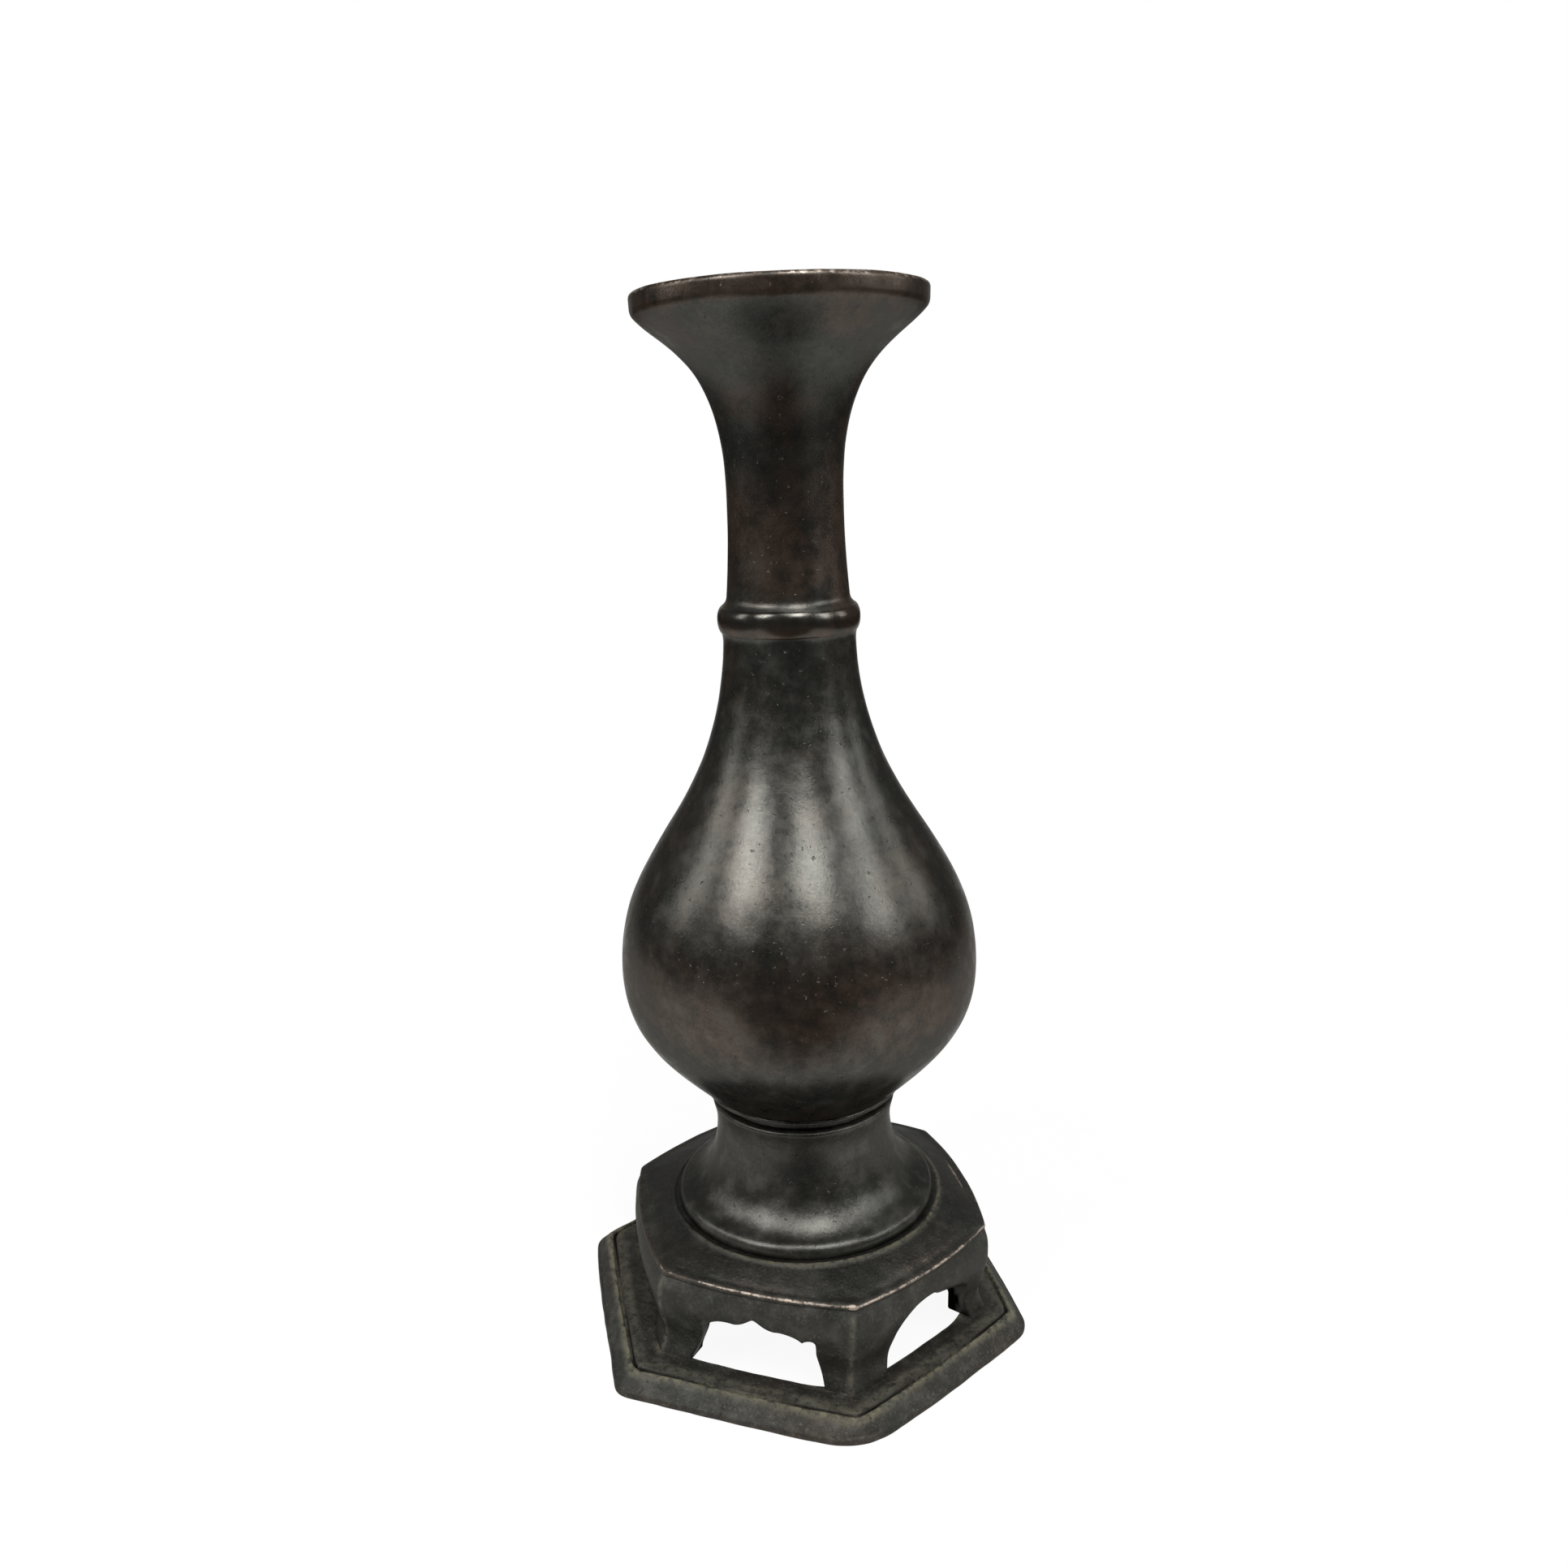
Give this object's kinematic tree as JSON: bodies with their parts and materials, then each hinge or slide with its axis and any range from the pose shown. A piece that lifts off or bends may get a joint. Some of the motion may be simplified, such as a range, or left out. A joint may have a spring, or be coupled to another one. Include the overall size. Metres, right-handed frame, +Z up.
{
  "type": "bronze baluster vase",
  "caption": "Bronze baluster vase with a flared mouth and a neck ring, on a waisted foot and an openwork hexagonal stand.",
  "frame": {"origin": "middle of the hexagonal base frame, on the surface it stands on", "axes": "+Z up; -Y faces out of the middle of one side of the stand, so the stand's corners lie at 0, 60, 120, 180, 240 and 300 degrees from +X; the vase leans 2.1 degrees towards 200 degrees"},
  "size_m": [0.1132, 0.1012, 0.2409],
  "materials": {
    "bronze_dark": "patinated bronze, satin, charcoal to brown",
    "bronze_brown": "patinated bronze, satin, brown-black",
    "bronze_stand": "patinated bronze, matt, with worn edges",
    "bronze_dull": "patinated bronze, matt, with pale deposits in the grooves",
    "bronze_raw": "unpolished bronze"
  },
  "bodies": {
    "root": {"base_frame": "bronze_dull", "stand_table": "bronze_stand", "foot": "bronze_dark", "body_plug": "bronze_raw", "body": "bronze_dark", "neck_ring": "bronze_brown", "mouth_neck": "bronze_brown", "leg_pin_1": "bronze_raw", "leg_pin_2": "bronze_raw", "leg_pin_3": "bronze_raw", "leg_pin_4": "bronze_raw", "leg_pin_5": "bronze_raw", "leg_pin_6": "bronze_raw", "foot_rivet_1": "bronze_raw", "foot_rivet_2": "bronze_raw", "foot_rivet_3": "bronze_raw"}
  },
  "joints": []
}
